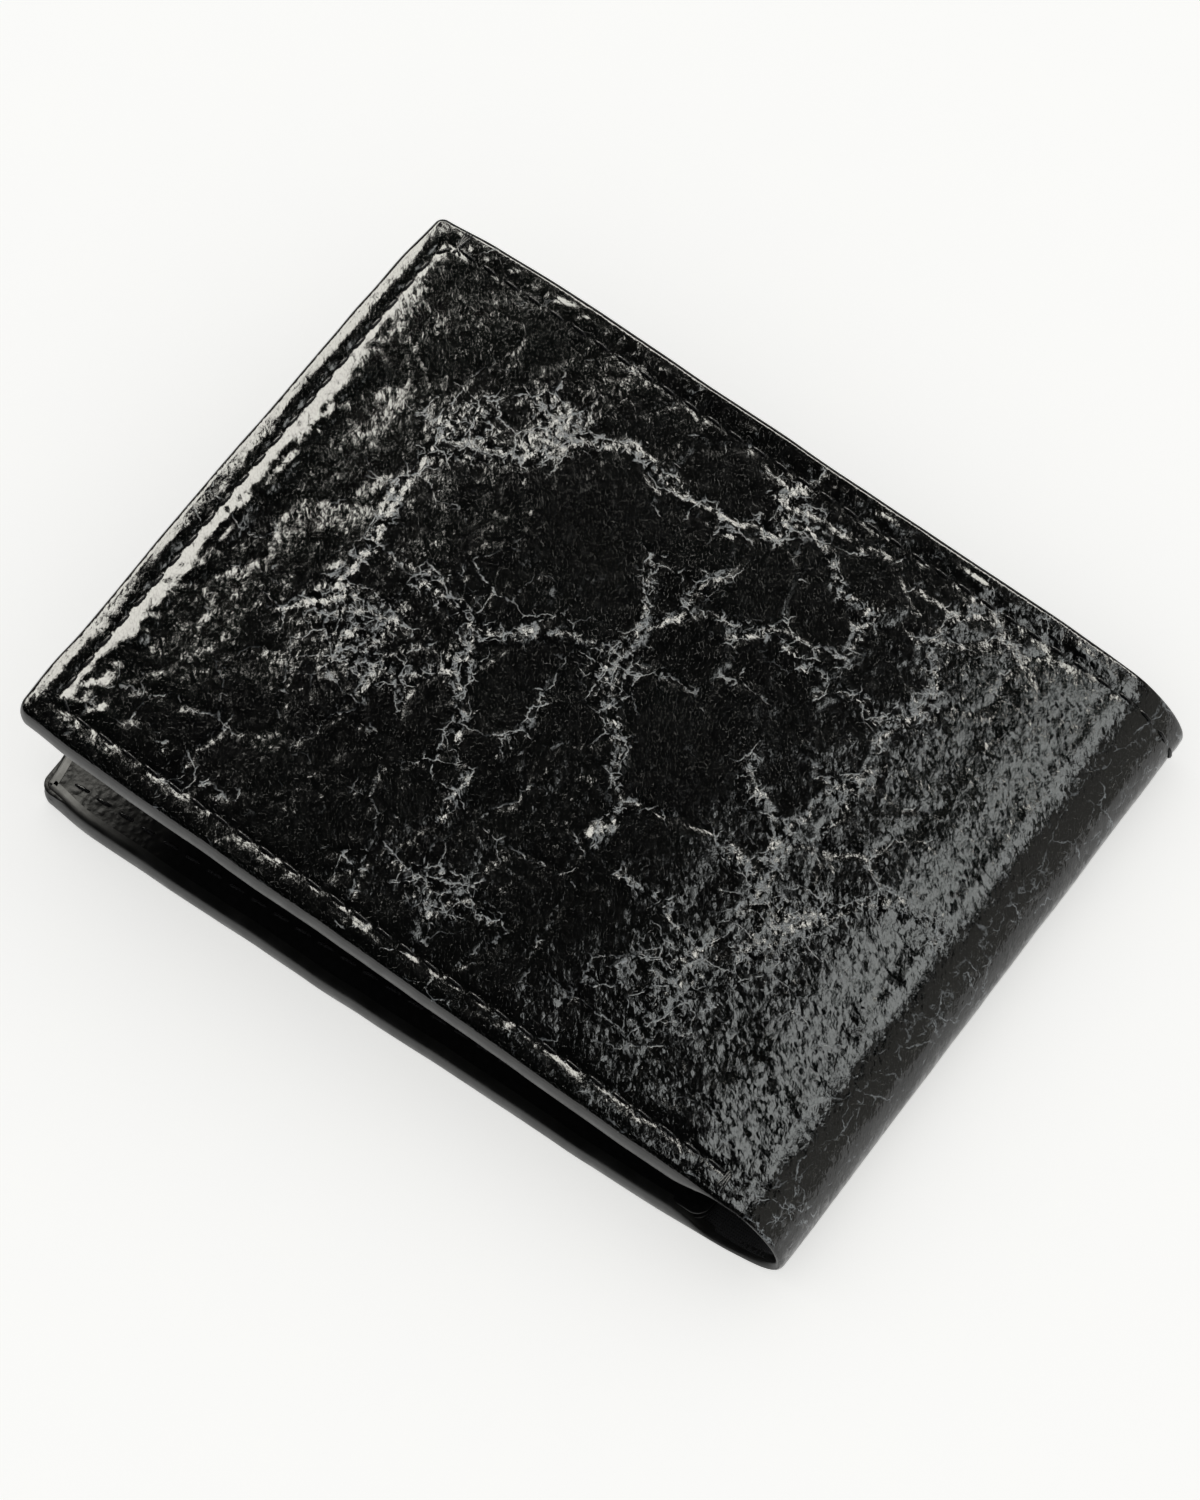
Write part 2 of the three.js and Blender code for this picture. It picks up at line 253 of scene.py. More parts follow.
class Fold:
    """Where each point of the unrolled hide lies when the wallet rests."""

    def __init__(self):
        turn = math.pi - REST_OPENING
        t = np.linspace(0, 1, 400)
        angle = -math.pi / 2 + t * turn
        sag = mm("fold_bulge") * np.sin(math.pi * t**0.72) ** 2
        x = FOLD_X + FOLD_RADIUS * np.cos(angle) + sag
        z = FOLD_RADIUS + FOLD_RADIUS * np.sin(angle)
        self.s = np.concatenate([[0], np.cumsum(np.hypot(np.diff(x), np.diff(z)))])
        self.x, self.z = x, z
        self.length = self.s[-1]
        self.tx, self.tz = np.gradient(x, self.s), np.gradient(z, self.s)
        self.tx[0], self.tz[0] = 1.0, 0.0
        self.tx[-1], self.tz[-1] = -math.cos(REST_OPENING), math.sin(REST_OPENING)
        self.split = float(np.interp(SPLIT_ANGLE, angle, self.s))
        self.front_edge = self.length + FRONT_REACH

    def place(self, s, y, depth):
        """Points in millimetres, depth measured inwards from the hide's outer face."""
        s, y, depth = np.broadcast_arrays(np.asarray(s, float), y, depth)
        inside = np.clip(s, 0, self.length)
        tx, tz = np.interp(inside, self.s, self.tx), np.interp(inside, self.s, self.tz)
        stretch = np.hypot(tx, tz)
        tx, tz = tx / stretch, tz / stretch
        flare = FOLD_FLARE * y / HALF * np.sin(math.pi * inside / self.length) ** 2
        x = np.interp(inside, self.s, self.x) + (s - inside) * tx - depth * tz + flare
        z = np.interp(inside, self.s, self.z) + (s - inside) * tz + depth * tx
        return np.stack([x, y, z], -1)

    def from_fold(self, s):
        """Distance along the cover from the fold's nearer end; negative inside the fold."""
        return np.maximum(-np.asarray(s), np.asarray(s) - self.length)

    def from_free_edge(self, s):
        return np.minimum(np.asarray(s) + BACK_REACH, self.front_edge - np.asarray(s))


fold = None


# ---- Mesh helpers ----------------------------------------------------------
def new_mesh(name, points, quads, materials, uv=None, quad_material=None, values=None):
    """A piece from points in millimetres; uv is its map on the hide, values its attributes per point."""
    mesh = bpy.data.meshes.new(name)
    mesh.vertices.add(len(points))
    mesh.vertices.foreach_set("co", (np.asarray(points) * MM).astype(np.float32).ravel())
    quads = np.asarray(quads, np.int32)
    mesh.loops.add(quads.size)
    mesh.loops.foreach_set("vertex_index", quads.ravel())
    mesh.polygons.add(len(quads))
    mesh.polygons.foreach_set("loop_start", np.arange(0, quads.size, 4, dtype=np.int32))
    for material in materials:
        mesh.materials.append(material)
    if quad_material is not None:
        mesh.polygons.foreach_set("material_index", np.asarray(quad_material, np.int32))
    mesh.update(calc_edges=True)
    mesh.polygons.foreach_set("use_smooth", np.ones(len(quads), bool))
    if uv is not None:
        layer = mesh.uv_layers.new(name="hide")
        layer.data.foreach_set("uv", (np.asarray(uv) * UV_PER_MM).astype(np.float32)[quads.ravel()].ravel())
    for key, value in (values or {}).items():
        attribute = mesh.attributes.new(key, "FLOAT", "POINT")
        attribute.data.foreach_set("value", np.asarray(value, np.float32).ravel())
    mesh.validate()
    piece = bpy.data.objects.new(name, mesh)
    bpy.context.scene.collection.objects.link(piece)
    return piece


def grid_quads(rows, columns, flip=False, wrap=False):
    """Faces of a grid of points; wrap joins its last column to its first."""
    index = np.arange(rows * columns).reshape(rows, columns)
    if wrap:
        index = np.concatenate([index, index[:, :1]], axis=1)
    corners = [index[:-1, :-1], index[:-1, 1:], index[1:, 1:], index[1:, :-1]]
    if flip:
        corners.reverse()
    return np.stack(corners, -1).reshape(-1, 4)


def ride_half(piece, half):
    """A piece of one half that reaches into the fold has its placement baked into its mesh.
    """
    if half == BACK:
        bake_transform(piece)
    else:
        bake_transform(piece)


# ---- A panel with rounded edges --------------------------------------------
RIM_ROWS = 13  # grid lines round a cut edge
CORNER_ROWS = 7  # grid lines from a flat face's border to its rim
COVER_EDGE = 0.62  # rounding of the cover's painted edge, in millimetres
RIM_STARTS = (0.0, 0.3, 0.6, 0.88, 1.0)  # where the rim's near round, side, far round and lip begin


def rim_section(q, depth, radius, lip):
    """Outline of a rounded cut edge, q from 0 on the face to 1 under the far lip."""
    round_radius = np.minimum(radius, depth / 2)
    near, side, far, under = [
        np.clip((q - start) / (end - start), 0, 1) for start, end in zip(RIM_STARTS, RIM_STARTS[1:])
    ]
    near, far = near * math.pi / 2, far * math.pi / 2
    straight = depth - 2 * round_radius
    swell = 0.06 * straight * np.sin(math.pi * side)
    out = round_radius * (np.sin(near) + np.cos(far) - 2) + swell - lip * under
    down = round_radius * (1 - np.cos(near) + np.sin(far)) + straight * side
    return out, down


def axis_levels(low, high, step, low_rim, high_rim, radius):
    """Clamped position, rim level and side of each grid line across a panel."""
    low_in = low + radius if low_rim else low
    high_in = high - radius if high_rim else high
    flat = np.linspace(low_in, high_in, max(2, int(round((high_in - low_in) / step)) + 1))
    levels = np.arange(1, CORNER_ROWS + RIM_ROWS + 1)
    position, level, side = [flat], [np.zeros(len(flat), int)], [np.zeros(len(flat))]
    if low_rim:
        position.insert(0, np.full(len(levels), low_in))
        level.insert(0, levels[::-1])
        side.insert(0, np.full(len(levels), -1.0))
    if high_rim:
        position.append(np.full(len(levels), high_in))
        level.append(levels)
        side.append(np.full(len(levels), 1.0))
    return np.concatenate(position), np.concatenate(level), np.concatenate(side)


class Panel:
    """A flat face with rounded edges on the hide.

    span holds its ends across the wallet and rise its ends along the fold. radius rounds its corners
    and edge its cut edge. fold_end is BACK or FRONT where that half's end in the fold is left uncut.
    """

    def __init__(self, span, rise, step, radius, edge, depth, fold_end=None, lip=0.9, outline=None):
        ps, ks, ss = axis_levels(*span, step[0], fold_end != FRONT, fold_end != BACK, radius)
        py, ky, sy = axis_levels(*rise, step[1], True, True, radius)
        round_rim = np.arange(1, RIM_ROWS + 1) / RIM_ROWS
        inner = np.linspace(0, radius - edge, CORNER_ROWS + 1)
        distance = np.concatenate([inner, radius - edge + edge * round_rim])
        q = np.concatenate([np.zeros(CORNER_ROWS + 1), round_rim])
        self.shape = (len(ps), len(py))
        level = np.maximum(ks[:, None], ky[None, :])
        ds = (ss * distance[ks])[:, None] + np.zeros(self.shape)
        dy = (sy * distance[ky])[None, :] + np.zeros(self.shape)
        length = np.maximum(np.hypot(ds, dy), 1e-9)
        ds, dy = ds / length, dy / length
        self.q = q[level]
        base_s = ps[:, None] + np.zeros(self.shape)
        base_y = py[None, :] + np.zeros(self.shape)
        rim_s, rim_y = base_s + ds * radius, base_y + dy * radius
        self.rim_depth = depth(rim_s, rim_y) if callable(depth) else np.full(self.shape, float(depth))
        out, down = rim_section(self.q, self.rim_depth, edge, lip)
        reach = np.where(self.q > 0, radius + out, distance[level])
        if outline:
            reach = reach + outline(rim_s, rim_y, ds, dy) * np.minimum(distance[level] / radius, 1)
        self.s = base_s + ds * reach
        self.y = base_y + dy * reach
        self.down = np.where(self.q > 0, down, 0.0)
        spread = distance[level] + self.q * (1.6 * edge + self.rim_depth)
        self.uv = np.stack([base_s + ds * spread, base_y + dy * spread], -1)
        self.lift = 1 - smooth(self.q / 0.34)

PAINT_FROM = 0.2  # the edge paint begins this far round the rim


def panel_piece(name, panel, depth, faces_in, materials, values=None):
    """A panel's mesh; its rim takes the second material, if there is one."""
    rim = np.minimum(panel.q[:-1, :-1], panel.q[1:, 1:])
    painted = (rim >= PAINT_FROM).astype(int).ravel()
    points = fold.place(panel.s, panel.y, depth).reshape(-1, 3)
    return new_mesh(
        name,
        points,
        grid_quads(*panel.shape, flip=faces_in),
        materials,
        uv=panel.uv.reshape(-1, 2),
        quad_material=painted if len(materials) > 1 else None,
        values=values,
    )


# ---- The hide's relief -----------------------------------------------------
def edge_distance(s, y):
    """Distance to the cover's outline, round its corners too."""
    r = mm("corner_radius") + 1.5
    a, b = fold.from_free_edge(s), HALF - np.abs(y)
    corner = r - np.hypot(np.minimum(a - r, 0), np.minimum(b - r, 0))
    return np.where((a < r) & (b < r), corner, np.minimum(a, b))


def crease_maps(s, y):
    """Crackle, from 0 to 1, and the relief of the creases in millimetres."""
    u = s - fold.length
    wx = u + 1.3 * waves(s, y, 6, 11) + 0.7 * waves(s, y, 2.2, 12)
    wy = y + 1.3 * waves(s, y, 6, 13) + 0.7 * waves(s, y, 2.2, 14)
    on_front = smooth((s - fold.length + 6) / 6)
    near = np.full(np.shape(s), FAR)
    for line in CREASES:
        near = np.minimum(near, distance_to_line(wx, wy, line))
    strength = 0.58 + 0.6 * waves(s, y, 6, 15)
    halo = 0.24 * hump(near, 3.4) * (0.6 + 0.6 * waves(s, y, 4, 19))
    band = hump(near, 0.8) * strength + halo
    core = hump(near, 0.45) * (0.5 + 0.5 * waves(s, y, 5, 16))
    patch = np.zeros(np.shape(s))
    ragged = 1 + 0.5 * rough_waves(s, y, 5, 17, 3)
    for cu, cy, radius in FLECKS:
        patch = np.maximum(patch, hump(np.hypot(wx - cu, wy - cy), radius * ragged * 0.7))
    cells = cell_walls(wx, wy, 9.5, 21)
    everywhere = 0.5 + 0.5 * waves(s, y, 14, 22)
    side_band = hump(cells, 0.8) * everywhere
    shoulder = hump(u + 6.5, 2.2) * (0.32 + 0.3 * waves(s, y, 8, 25))
    crackle = np.clip(shoulder + on_front * (0.9 * band + 0.5 * patch) + 0.45 * side_band, 0, 1)
    small = cell_walls(wx, wy, 2.6, 23)
    tiny = cell_walls(wx + 0.4 * waves(s, y, 0.9, 27), wy, 1.15, 24)
    relief = (
        -0.16 * on_front * core
        + 0.10 * on_front * band
        - 0.09 * hump(cells, 0.5) * everywhere
        + 0.10 * crackle * (np.minimum(small, 0.8) / 0.8 - 0.5)
        + 0.05 * np.clip(crackle + 0.35, 0, 1) * (np.minimum(tiny, 0.4) / 0.4 - 0.5)
    )
    return crackle, relief


def grain_amount(s, y):
    """How strongly the grain stands up: most of all beside the fold, glazed flat in the upper middle."""
    u = s - fold.length
    beside_fold = smooth((30 - fold.from_fold(s)) / 18)
    glazed = hump(u - 46, 24) * hump(y - 14, 22)
    far_corner = hump(u - 90, 14) * hump(y - 28, 13)
    amount = 0.72 + 0.5 * beside_fold - 0.55 * glazed - 0.3 * far_corner + 0.3 * waves(s, y, 9, 48)
    return np.clip(amount, 0.12, 1.3) * np.where(s < 0, 0.8, 1.0)


def rolled(s):
    """1 where the hide is rolled round the fold."""
    return smooth((1 - fold.from_fold(s)) / 5)


def pucker(s, y):
    """Groove of the seam with the leather gathered at each stitch hole."""
    off = mm("seam_offset")
    d = edge_distance(s, y)
    along = np.where(HALF - np.abs(y) < fold.from_free_edge(s), s, y)
    beat = 0.5 + 0.5 * np.cos(2 * math.pi * along / mm("stitch_pitch"))
    groove = hump(d - off, 0.42)
    wide = hump(d - off, 1.3)
    bottom = y < -HALF + off + 1.2
    sewn = np.where(bottom, smooth((fold.from_fold(s) - SEAM_END + 0.4) / 0.8), 1.0)
    mouth = smooth((y - HALF + 9) / 3) * smooth((fold.from_free_edge(s) - 5) / 3)
    relief = -((0.06 + 0.06 * beat) * groove + (0.035 + 0.03 * beat) * wide) * (1 - 0.65 * mouth)
    free = smooth((12 - fold.from_free_edge(s)) / 4) * smooth((24 - y) / 12)
    lumps = 0.75 + 0.9 * waves(s, y, 7, 31) + 0.5 * waves(s, y, 2.5, 33) + 0.6 * waves(s, y, 1.1, 34)
    puff = (0.03 * (1 - mouth) + 0.15 * free) * lumps
    inside = hump(d - off - 2.4, 1.5) * puff
    broken = 0.06 * waves(s, y, 4, 32) + 0.05 * mouth * waves(s, y, 1.2, 35)
    rim = hump(d - 1.8, 0.8) * (0.04 + 0.03 * mouth + broken)
    return (relief + inside + rim) * sewn


def hide_relief(s, y):
    """Crackle, and the height of the hide's surface above its drawn face in millimetres."""
    crackle, creases = crease_maps(s, y)
    broad = 0.16 * waves(s, y, 27, 41) + 0.09 * waves(s, y, 12, 42) + 0.05 * rough_waves(s, y, 5, 43, 3)
    across, along = s * 0.77 - y * 0.64, s * 0.64 + y * 0.77  # the grain runs slantwise
    strokes = rough_waves(across, along * 0.42, 1.5, 44, 2)
    pebbles = np.minimum(cell_walls(across, along * 0.6, 1.25, 45), 0.3) / 0.3
    fine = (0.014 * strokes + 0.012 * (pebbles - 0.5)) * grain_amount(s, y)
    in_fold = smooth((-2 - fold.from_fold(s)) / 6)
    roll = -0.32 * smooth((8 - fold.from_fold(s)) / 8) * smooth(s / fold.length)
    tight = 1 - 0.8 * in_fold
    along_fold = 0.04 * in_fold * waves(s, y * 0.35, 1.6, 46)
    edge = edge_distance(s, y)
    lying = np.where(s < 2, 0.35, 1.0)  # the back cover is pressed flat on the table
    relief = (broad * lying + creases) * tight * smooth(edge / 3) + fine * tight * smooth(edge / 1.2)
    return crackle, relief + along_fold + roll + pucker(s, y)


def stack_depth(s, y):
    """Depth of the painted edge: the whole stack where it is sewn, the cover alone elsewhere."""
    bottom = smooth((fold.from_fold(s) - 1.6) / 6.5) * (y < -HALF + 6)
    free = smooth((DIVIDER_TOP + 0.5 - y) / 3.5) * (fold.from_free_edge(s) < 6)
    return COVER_DEPTH + (STACK_DEPTH - COVER_DEPTH) * np.maximum(bottom, free)


# ---- Materials ---------------------------------------------------------------------
COLOUR_A, COLOUR_B, COLOUR_OUT = 6, 7, 2  # the colour sockets of a mix node


def add(tree, kind, inputs=None, **settings):
    """Adds a node. An input takes a value, a socket, or a node whose first output it is linked to."""
    node = tree.nodes.new("ShaderNode" + kind)
    for key, value in settings.items():
        setattr(node, key, value)
    for key, value in (inputs or {}).items():
        if isinstance(value, bpy.types.Node):
            value = value.outputs[0]
        if isinstance(value, bpy.types.NodeSocket):
            tree.links.new(value, node.inputs[key])
        else:
            node.inputs[key].default_value = value
    return node


def new_material(name):
    """An empty material and the map of the unrolled hide in millimetres, which stays on a bent piece.

    Pattern scales are therefore features to a millimetre.
    """
    made = bpy.data.materials.new(name)
    made.use_nodes = True
    tree = made.node_tree
    tree.nodes.clear()
    uv = add(tree, "UVMap", uv_map="hide")
    return made, tree, add(tree, "VectorMath", {0: uv, "Scale": 1 / UV_PER_MM}, operation="SCALE")


def glazed_leather():
    """Drum-crinkled cowhide under a hard black glaze.

    The glaze throws hard glints off every raised pebble; where the hide creased it has cracked
    to a pale, dry network, partly the glaze's own cracks and partly painted highlight where light
    catches the crease ridges, and between the creases it stays nearly black.
    """
    made, tree, hide = new_material("crinkled_glazed_leather")
    crackle = add(tree, "Attribute", attribute_name="crackle").outputs["Fac"]
    raised = add(tree, "Attribute", attribute_name="grain").outputs["Fac"]
    in_fold = add(tree, "Attribute", attribute_name="rolled").outputs["Fac"]
    patchy = add(tree, "TexNoise", {"Vector": hide, "Scale": 0.8, "Detail": 4.0})
    drift = add(tree, "TexNoise", {"Vector": hide, "Scale": 0.4, "Detail": 5.0, "Roughness": 0.6})
    drift = add(tree, "VectorMath", {0: drift.outputs["Color"], 1: MIDDLE}, operation="SUBTRACT")
    push = add(tree, "VectorMath", {0: drift, "Scale": 2.8}, operation="SCALE")
    bent = add(tree, "VectorMath", {0: hide, 1: push}, operation="ADD")
    drawn_out = add(tree, "Mapping", {"Vector": bent, "Scale": (1.0, 4.0, 1.0)}, vector_type="TEXTURE")

    # Cracks 0.1 to 0.2 mm wide, broken into dashes, between cells of 5, 2 and 0.9 mm in the creases
    # and between long cells in the fold.
    # map, cells to a millimetre, half width, where and how strongly, where the dashes run, strength
    networks = (
        (bent, 0.2, 0.09, (crackle, 0.1, 0.3), (0.42, 0.52), 1.0),
        (bent, 0.5, 0.07, (crackle, 0.28, 0.55), (0.45, 0.55), 1.0),
        (bent, 1.15, 0.05, (crackle, 0.5, 0.9), (0.5, 0.6), 1.0),
        (drawn_out, 0.26, 0.07, (in_fold, 0.0, 1.0), (0.46, 0.58), 0.5),
    )
    cracks = 0.0
    for vector, scale, width, (where, low, high), (gap, dash), strength in networks:
        walls = add(tree, "TexVoronoi", {"Vector": vector, "Scale": scale}, feature="DISTANCE_TO_EDGE")
        edges = {"From Min": 0.3 * width * scale, "From Max": width * scale, "To Min": 1.0, "To Max": 0.0}
        line = add(tree, "MapRange", {"Value": walls, **edges})
        there = add(tree, "MapRange", {"Value": where, "From Min": low, "From Max": high})
        dashes = {"From Min": gap, "From Max": dash, "To Max": strength}
        dashed = add(tree, "MapRange", {"Value": patchy, **dashes})
        here = add(tree, "Math", {0: there, 1: dashed}, operation="MULTIPLY")
        line = add(tree, "Math", {0: line, 1: here}, operation="MULTIPLY")
        cracks = add(tree, "Math", {0: cracks, 1: line}, operation="MAXIMUM")

    # Glaze rubbed to dust in the creases, painted paler there partly as worn glaze and partly as painted
    # sheen of crowded glints, and a black that is slightly uneven over the hide.
    rubbed_and_sheen = add(tree, "MapRange", {"Value": crackle, "From Min": 0.5, "From Max": 1.0, "To Max": 0.04})
    spots = add(tree, "MapRange", {"Value": patchy, "From Min": 0.45, "From Max": 0.7})
    dust_and_sheen = add(tree, "Math", {0: rubbed_and_sheen, 1: spots}, operation="MULTIPLY")
    # Painted highlight: crack lines are painted pale, partly the cracked glaze's own colour, partly light
    # catching the crease ridges.
    dry_and_highlight = add(tree, "Math", {0: cracks, 1: 0.75}, operation="MULTIPLY")
    pale = add(tree, "Math", {0: dry_and_highlight, 1: dust_and_sheen}, operation="MAXIMUM")
    tint = add(tree, "TexNoise", {"Vector": hide, "Scale": 0.08, "Detail": 2.0})
    tint = add(tree, "MapRange", {"Value": tint, "From Min": 0.35, "From Max": 0.65})
    blacks = {"Factor": tint, COLOUR_A: colour("leather"), COLOUR_B: linear("#070807")}
    black = add(tree, "Mix", blacks, data_type="RGBA").outputs[COLOUR_OUT]
    shades = {"Factor": pale, COLOUR_A: black, COLOUR_B: colour("crack_and_highlight")}

    # The glaze breaks into flakes about 0.5 mm across, each tilted its own way, most in the creases.
    nudge = add(tree, "VectorMath", {0: drift, "Scale": 0.7}, operation="SCALE")
    nudged = add(tree, "VectorMath", {0: hide, 1: nudge}, operation="ADD")
    turned = {"Vector": nudged, "Rotation": (0, 0, math.radians(50)), "Scale": (0.72, 0.38, 1.0)}
    lie = add(tree, "Mapping", turned, vector_type="TEXTURE")
    flakes = add(tree, "TexVoronoi", {"Vector": lie, "Scale": 1.0})
    place = add(tree, "VectorMath", {0: lie, 1: flakes.outputs["Position"]}, operation="SUBTRACT")
    way = add(tree, "VectorMath", {0: flakes.outputs["Color"], 1: MIDDLE}, operation="SUBTRACT")
    slope = add(tree, "VectorMath", {0: place, 1: way}, operation="DOT_PRODUCT").outputs["Value"]
    loose = add(tree, "MapRange", {"Value": crackle, "From Min": 0.25, "From Max": 0.95, "To Max": 0.11})
    grainy = {"Value": raised, "From Min": 0.1, "From Max": 1.3, "To Min": 0.006, "To Max": 0.075}
    tilt = add(tree, "Math", {0: loose, 1: add(tree, "MapRange", grainy)}, operation="ADD")
    clumps = {"Value": patchy, "From Min": 0.35, "From Max": 0.6, "To Min": 0.4, "To Max": 1.1}
    tilt = add(tree, "Math", {0: tilt, 1: add(tree, "MapRange", clumps)}, operation="MULTIPLY")

    # Pebbles of the grain between the flakes, and a fine tooth that is strongest beside the fold.
    pebbles = add(tree, "TexVoronoi", {"Vector": lie, "Scale": 0.7}, feature="DISTANCE_TO_EDGE")
    pebbles = add(tree, "MapRange", {"Value": pebbles, "From Min": 0.02, "From Max": 0.24})
    standing = add(tree, "MapRange", {"Value": raised, "From Min": 0.1, "From Max": 1.1})
    pebbles = add(tree, "Math", {0: pebbles, 1: standing}, operation="MULTIPLY")
    tooth = add(tree, "TexNoise", {"Vector": hide, "Scale": 3.6, "Detail": 3.0, "Roughness": 0.6})
    rough = {"Value": raised, "From Min": 0.6, "From Max": 1.25, "To Min": 0.008, "To Max": 0.017}
    height = 0.0
    layers = ((slope, tilt), (pebbles, 0.006), (tooth, add(tree, "MapRange", rough)), (cracks, -0.012))
    for layer, amount in layers:
        height = add(tree, "Math", {0: layer, 1: amount, 2: height}, operation="MULTIPLY_ADD")
    bump = add(tree, "Bump", {"Height": height, "Strength": 1.0, "Distance": MM})

    # The glaze is smooth, and dry where it has cracked.
    gloss = {"Value": patchy, "From Min": 0.35, "From Max": 0.7, "To Min": 0.08, "To Max": 0.13}
    dull = {0: pale, 1: 0.5, 2: add(tree, "MapRange", gloss)}
    finish = {
        "Base Color": add(tree, "Mix", shades, data_type="RGBA").outputs[COLOUR_OUT],
        "Roughness": add(tree, "Math", dull, operation="MULTIPLY_ADD", use_clamp=True),
        "IOR": 1.5,
        "Normal": bump,
        "Coat Weight": 0.25,
        "Coat Roughness": 0.07,
        "Coat Normal": bump,
    }
    add(tree, "OutputMaterial", {"Surface": add(tree, "BsdfPrincipled", finish)})
    return made


def painted_edge():
    """Cut edges sanded, painted and burnished: a satin skin with faint waves from the plies below."""
    made, tree, hide = new_material("burnished_edge_paint")
    plies = add(tree, "TexNoise", {"Vector": hide, "Scale": 0.35, "Detail": 4.0})
    worn = add(tree, "MapRange", {"Value": plies, "From Min": 0.35, "From Max": 0.7})
    shades = {"Factor": worn, COLOUR_A: colour("edge"), COLOUR_B: linear("#1d1d1c")}
    satin = {"Value": plies, "From Min": 0.3, "From Max": 0.7, "To Min": 0.3, "To Max": 0.45}
    finish = {
        "Base Color": add(tree, "Mix", shades, data_type="RGBA").outputs[COLOUR_OUT],
        "Roughness": add(tree, "MapRange", satin),
        "Specular IOR Level": 0.45,
        "Normal": add(tree, "Bump", {"Height": plies, "Strength": 0.4, "Distance": 0.15 * MM}),
    }
    add(tree, "OutputMaterial", {"Surface": add(tree, "BsdfPrincipled", finish)})
    return made


def pocket_leather():
    """Embossed split leather, left matt: small even pebbles and a soft sheen."""
    made, tree, hide = new_material("embossed_matt_leather")
    swell = add(tree, "TexNoise", {"Vector": hide, "Scale": 0.9, "Detail": 3.0})
    cells = add(tree, "TexVoronoi", {"Vector": hide, "Scale": 1.2}, feature="SMOOTH_F1")
    large = add(tree, "TexNoise", {"Vector": hide, "Scale": 0.12, "Detail": 3.0})
    domes = {"Value": cells, "From Min": 0.1, "From Max": 0.6, "To Min": 1.0, "To Max": 0.0}
    pebbles = add(tree, "MapRange", domes)
    shades = {"Factor": pebbles, COLOUR_A: linear("#0d0d0d"), COLOUR_B: colour("pocket")}
    matt = {"Value": large, "From Min": 0.3, "From Max": 0.7, "To Min": 0.4, "To Max": 0.47}
    height = add(tree, "Math", {0: swell, 1: 0.12}, operation="MULTIPLY")
    height = add(tree, "Math", {0: pebbles, 1: 0.07, 2: height}, operation="MULTIPLY_ADD")
    finish = {
        "Base Color": add(tree, "Mix", shades, data_type="RGBA").outputs[COLOUR_OUT],
        "Roughness": add(tree, "MapRange", matt),
        "Specular IOR Level": 0.25,
        "Normal": add(tree, "Bump", {"Height": height, "Strength": 1.0, "Distance": MM}),
    }
    add(tree, "OutputMaterial", {"Surface": add(tree, "BsdfPrincipled", finish)})
    return made


def lining_fabric():
    """Plain-woven polyester lining: a dull surface with a slight thread sheen.

    Its real threads are 0.15 mm apart, too fine to show, so they are drawn 0.35 mm apart.
    """
    made, tree, hide = new_material("woven_polyester_lining")
    threads = [
        add(tree, "TexWave", {"Vector": hide, "Scale": 0.9, "Distortion": 0.3}, bands_direction=direction)
        for direction in ("X", "Y")
    ]
    tops = {0: threads[0].outputs["Fac"], 1: threads[1].outputs["Fac"]}
    weave = add(tree, "Math", tops, operation="MAXIMUM")
    shades = {"Factor": weave, COLOUR_A: linear("#121213"), COLOUR_B: colour("fabric")}
    finish = {
        "Base Color": add(tree, "Mix", shades, data_type="RGBA").outputs[COLOUR_OUT],
        "Roughness": 0.8,
        "Sheen Weight": 0.25,
        "Normal": add(tree, "Bump", {"Height": weave, "Strength": 0.5, "Distance": 0.1 * MM}),
    }
    add(tree, "OutputMaterial", {"Surface": add(tree, "BsdfPrincipled", finish)})
    return made


def sewing_thread():
    """Bonded nylon thread: twisted plies with a waxy glint on each turn."""
    made, tree, hide = new_material("bonded_nylon_thread")
    fibres = add(tree, "TexNoise", {"Vector": hide, "Scale": 6.0, "Detail": 2.0})
    waxed = add(tree, "MapRange", {"Value": fibres, "From Min": 0.35, "From Max": 0.7})
    shades = {"Factor": waxed, COLOUR_A: colour("thread"), COLOUR_B: linear("#272728")}
    finish = {
        "Base Color": add(tree, "Mix", shades, data_type="RGBA").outputs[COLOUR_OUT],
        "Roughness": 0.2,
        "Normal": add(tree, "Bump", {"Height": fibres, "Strength": 0.4, "Distance": 0.05 * MM}),
    }
    add(tree, "OutputMaterial", {"Surface": add(tree, "BsdfPrincipled", finish)})
    return made


def paper_sweep():
    """Matt card sweep, lit evenly so that only soft contact shadows show."""
    made, tree, _ = new_material("matt_card_sweep")
    tooth = add(tree, "TexNoise", {"Scale": 300.0, "Detail": 3.0})
    tooth = add(tree, "MapRange", {"Value": tooth, "From Min": 0.3, "From Max": 0.7})
    shades = {"Factor": tooth, COLOUR_A: colour("floor"), COLOUR_B: linear("#f3f3f2")}
    finish = {
        "Base Color": add(tree, "Mix", shades, data_type="RGBA").outputs[COLOUR_OUT],
        "Roughness": 0.9,
        "Specular IOR Level": 0.1,
        "Emission Color": (1.0, 1.0, 0.98, 1.0),
        "Emission Strength": 0.53,
    }
    add(tree, "OutputMaterial", {"Surface": add(tree, "BsdfPrincipled", finish)})
    return made


MAKERS = {
    "leather": glazed_leather,
    "edge": painted_edge,
    "pocket": pocket_leather,
    "fabric": lining_fabric,
    "thread": sewing_thread,
    "floor": paper_sweep,
}
made_materials = {}


def material(name):
    if name not in made_materials:
        made_materials[name] = MAKERS[name]()
    return made_materials[name]


